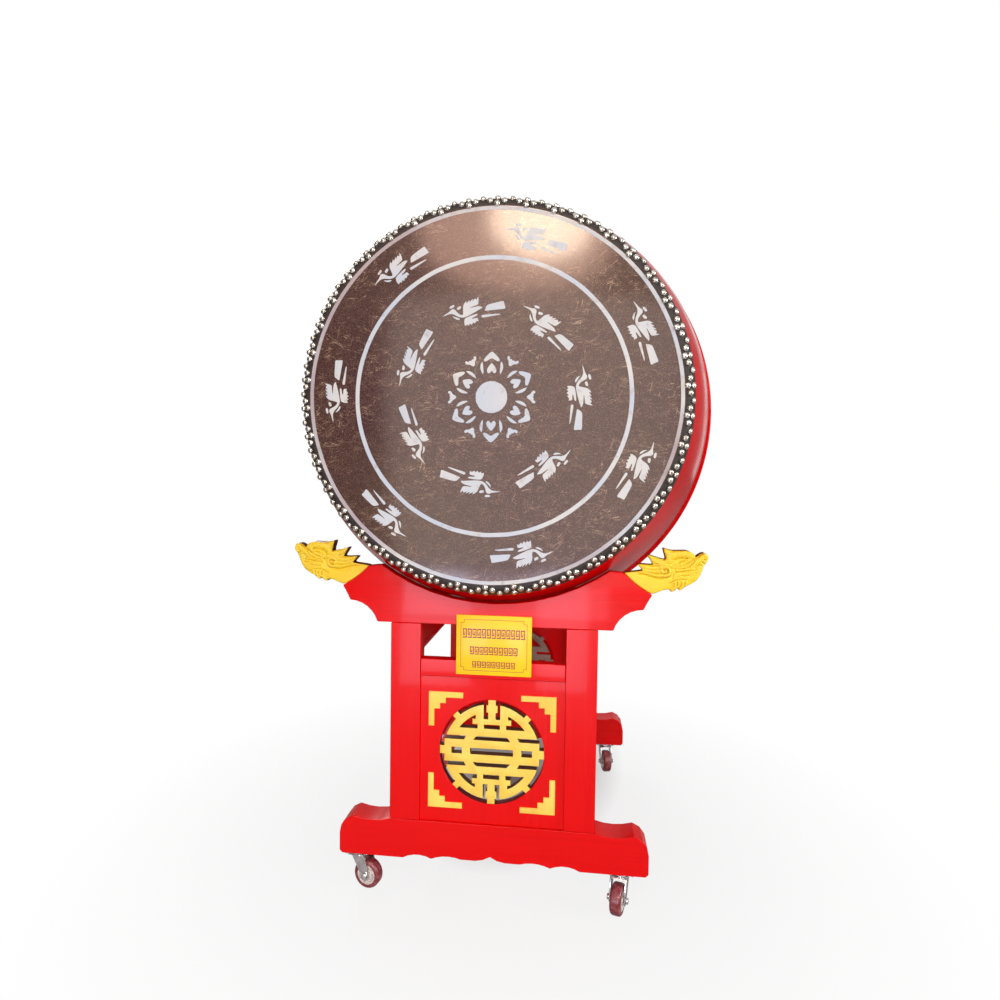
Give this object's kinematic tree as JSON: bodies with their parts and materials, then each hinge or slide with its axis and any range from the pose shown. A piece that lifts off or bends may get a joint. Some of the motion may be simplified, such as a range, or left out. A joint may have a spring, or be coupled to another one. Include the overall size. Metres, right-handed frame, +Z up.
{
  "type": "temple drum",
  "caption": "Big barrel drum with tacked hide heads, resting in a red and gold wheeled wooden stand with dragon-head cradles and round fretwork panels.",
  "frame": {"origin": "on the floor at the middle of the stand, under the drum's middle", "axes": "+Z up; the drum's axis along Y; -Y is the front, the side with the plaque; +X is the right side as seen from the front"},
  "size_m": [1.004, 0.872, 1.5836],
  "materials": {
    "red_lacquer": "red gloss lacquer on wood",
    "barrel_lacquer": "deep red gloss lacquer on wood",
    "hide": "dark hide, lightly scratched, with white stencilled figures",
    "tack_metal": "polished domed tacks",
    "gold_paint": "gold paint",
    "bare_wood": "unpainted wood, darkened",
    "carving_gold": "gold paint on carved wood",
    "plaque_yellow": "glossy yellow plate",
    "zinc_plate": "bright zinc plating",
    "hub_plastic": "pale moulded plastic",
    "maroon_tread": "maroon moulded tread"
  },
  "bodies": {
    "stand": {"front_foot_beam": "red_lacquer", "front_left_post": "red_lacquer", "front_right_post": "red_lacquer", "front_cradle_board": "red_lacquer", "front_mid_rail": "red_lacquer", "front_panel": "red_lacquer", "front_medallion": "gold_paint", "front_upper_left_ornament": "gold_paint", "front_upper_right_ornament": "gold_paint", "front_lower_left_ornament": "gold_paint", "front_lower_right_ornament": "gold_paint", "front_left_dragon_head": "carving_gold", "front_right_dragon_head": "carving_gold", "rear_foot_beam": "red_lacquer", "rear_left_post": "red_lacquer", "rear_right_post": "red_lacquer", "rear_cradle_board": "red_lacquer", "rear_mid_rail": "red_lacquer", "rear_panel": "red_lacquer", "rear_medallion": "gold_paint", "rear_inner_medallion": "bare_wood", "rear_upper_left_ornament": "gold_paint", "rear_upper_right_ornament": "gold_paint", "rear_lower_left_ornament": "gold_paint", "rear_lower_right_ornament": "gold_paint", "rear_left_dragon_head": "carving_gold", "rear_right_dragon_head": "carving_gold", "plaque": "plaque_yellow", "left_top_rail": "red_lacquer", "left_bottom_rail": "red_lacquer", "right_top_rail": "red_lacquer", "right_bottom_rail": "red_lacquer", "front_left_caster_plate": "zinc_plate", "front_right_caster_plate": "zinc_plate", "rear_left_caster_plate": "zinc_plate", "rear_right_caster_plate": "zinc_plate"},
    "drum": {"drum_shell": "barrel_lacquer", "belly_band": "barrel_lacquer", "front_skin": "hide", "rear_skin": "hide", "front_skin_hem": "hide", "rear_skin_hem": "hide", "front_tacks": "tack_metal", "rear_tacks": "tack_metal"},
    "front_left_caster_swivel": {"front_left_caster_fork": "zinc_plate", "front_left_caster_axle": "zinc_plate"},
    "front_left_caster_wheel": {"front_left_caster_hub": "hub_plastic", "front_left_caster_tread": "maroon_tread"},
    "front_right_caster_swivel": {"front_right_caster_fork": "zinc_plate", "front_right_caster_axle": "zinc_plate"},
    "front_right_caster_wheel": {"front_right_caster_hub": "hub_plastic", "front_right_caster_tread": "maroon_tread"},
    "rear_left_caster_swivel": {"rear_left_caster_fork": "zinc_plate", "rear_left_caster_axle": "zinc_plate"},
    "rear_left_caster_wheel": {"rear_left_caster_hub": "hub_plastic", "rear_left_caster_tread": "maroon_tread"},
    "rear_right_caster_swivel": {"rear_right_caster_fork": "zinc_plate", "rear_right_caster_axle": "zinc_plate"},
    "rear_right_caster_wheel": {"rear_right_caster_hub": "hub_plastic", "rear_right_caster_tread": "maroon_tread"}
  },
  "joints": [
    {"name": "drum_lift", "type": "slide", "parent": "stand", "child": "drum", "axis": [0, 0, 1], "range_m": [0, 0.25]},
    {"name": "front_left_caster_turn", "type": "hinge", "parent": "stand", "child": "front_left_caster_swivel", "pos_m": [-0.3, -0.331, 0.0751], "axis": [0, 0, 1], "continuous": true},
    {"name": "front_left_caster_roll", "type": "hinge", "parent": "front_left_caster_swivel", "child": "front_left_caster_wheel", "pos_m": [-0.27671, -0.33681, 0.0315], "axis": [0.2419, 0.9703, 0], "continuous": true},
    {"name": "front_right_caster_turn", "type": "hinge", "parent": "stand", "child": "front_right_caster_swivel", "pos_m": [0.281, -0.331, 0.0751], "axis": [0, 0, 1], "continuous": true},
    {"name": "front_right_caster_roll", "type": "hinge", "parent": "front_right_caster_swivel", "child": "front_right_caster_wheel", "pos_m": [0.27398, -0.35395, 0.0315], "axis": [0.9563, -0.2924, 0], "continuous": true},
    {"name": "rear_left_caster_turn", "type": "hinge", "parent": "stand", "child": "rear_left_caster_swivel", "pos_m": [-0.3, 0.331, 0.0751], "axis": [0, 0, 1], "continuous": true},
    {"name": "rear_left_caster_roll", "type": "hinge", "parent": "rear_left_caster_swivel", "child": "rear_left_caster_wheel", "pos_m": [-0.288, 0.31022, 0.0315], "axis": [0.866, 0.5, 0], "continuous": true},
    {"name": "rear_right_caster_turn", "type": "hinge", "parent": "stand", "child": "rear_right_caster_swivel", "pos_m": [0.281, 0.331, 0.0751], "axis": [0, 0, 1], "continuous": true},
    {"name": "rear_right_caster_roll", "type": "hinge", "parent": "rear_right_caster_swivel", "child": "rear_right_caster_wheel", "pos_m": [0.28517, 0.30736, 0.0315], "axis": [0.9848, 0.1736, 0], "continuous": true}
  ]
}
